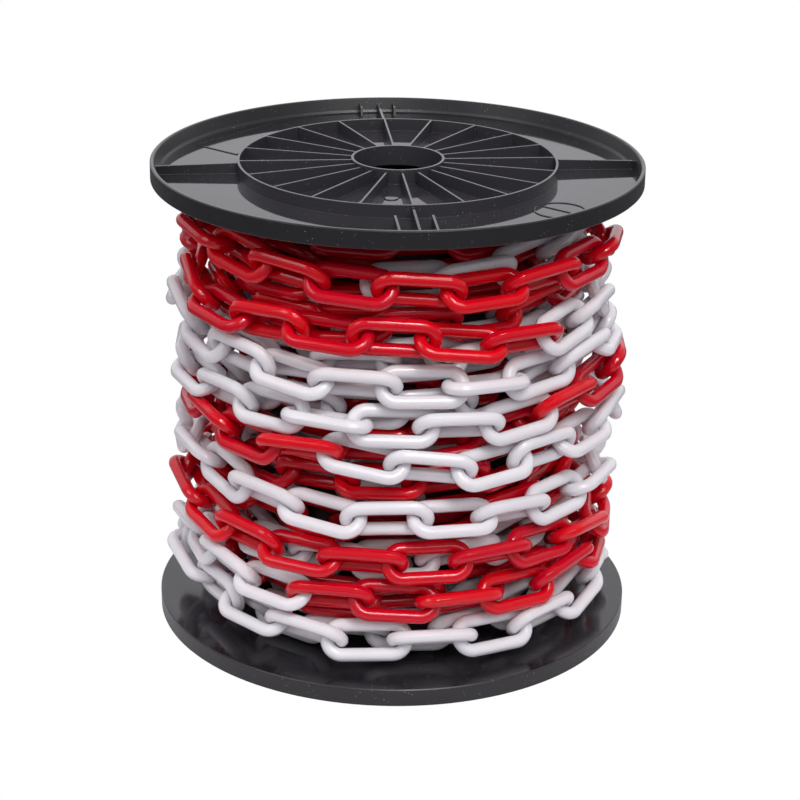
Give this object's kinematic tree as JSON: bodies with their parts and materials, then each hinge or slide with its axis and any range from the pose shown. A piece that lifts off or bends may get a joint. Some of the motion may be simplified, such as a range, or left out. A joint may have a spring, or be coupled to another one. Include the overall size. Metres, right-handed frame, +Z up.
{
  "type": "plastic barrier chain on a reel",
  "caption": "Red and white plastic link chain wound on a ribbed black plastic reel that stands on its lower flange, with the chain's free end hanging at the back.",
  "frame": {"origin": "centre of the lower rim's resting face, where the lower bore opens, on the reel's axis", "axes": "+Z up along the reel's axis, +Y to the back where the chain's free end hangs, +X to the right seen from the front"},
  "size_m": [0.301, 0.3172, 0.296],
  "materials": {
    "reel_black": "black polypropylene, satin, with fine scratches and dust",
    "chain_red": "glossy red polyethylene",
    "chain_white": "glossy white polyethylene"
  },
  "bodies": {
    "reel": {"upper_flange": "reel_black", "upper_collar": "reel_black", "lower_flange": "reel_black", "lower_collar": "reel_black", "barrel": "reel_black", "white_chain_section_01": "chain_white", "red_chain_section_02": "chain_red", "white_chain_section_03": "chain_white", "red_chain_section_04": "chain_red", "white_chain_section_05": "chain_white", "red_chain_section_06": "chain_red", "white_chain_section_07": "chain_white", "red_chain_section_08": "chain_red", "white_chain_section_09": "chain_white", "red_chain_section_10": "chain_red", "white_chain_section_11": "chain_white", "red_chain_section_12": "chain_red", "white_chain_section_13": "chain_white", "red_chain_section_14": "chain_red", "white_chain_section_15": "chain_white", "red_chain_section_16": "chain_red", "white_chain_section_17": "chain_white", "red_chain_section_18": "chain_red", "white_chain_section_19": "chain_white", "red_chain_section_20": "chain_red"},
    "end_link_1": {"red_end_link_1": "chain_red"},
    "end_link_2": {"red_end_link_2": "chain_red"},
    "end_link_3": {"red_end_link_3": "chain_red"},
    "end_link_4": {"red_end_link_4": "chain_red"}
  },
  "joints": [
    {"name": "end_link_1_swing", "type": "hinge", "parent": "reel", "child": "end_link_1", "pos_m": [0, 0.153, 0.1808], "axis": [1, 0, 0], "range_deg": [0, 75]},
    {"name": "end_link_2_swing", "type": "hinge", "parent": "end_link_1", "child": "end_link_2", "pos_m": [0, 0.153, 0.1411], "axis": [0, 1, 0], "range_deg": [-45, 45]},
    {"name": "end_link_3_swing", "type": "hinge", "parent": "end_link_2", "child": "end_link_3", "pos_m": [0, 0.153, 0.1014], "axis": [1, 0, 0], "range_deg": [0, 60]},
    {"name": "end_link_4_swing", "type": "hinge", "parent": "end_link_3", "child": "end_link_4", "pos_m": [0, 0.153, 0.0617], "axis": [0, 1, 0], "range_deg": [-45, 45]}
  ]
}
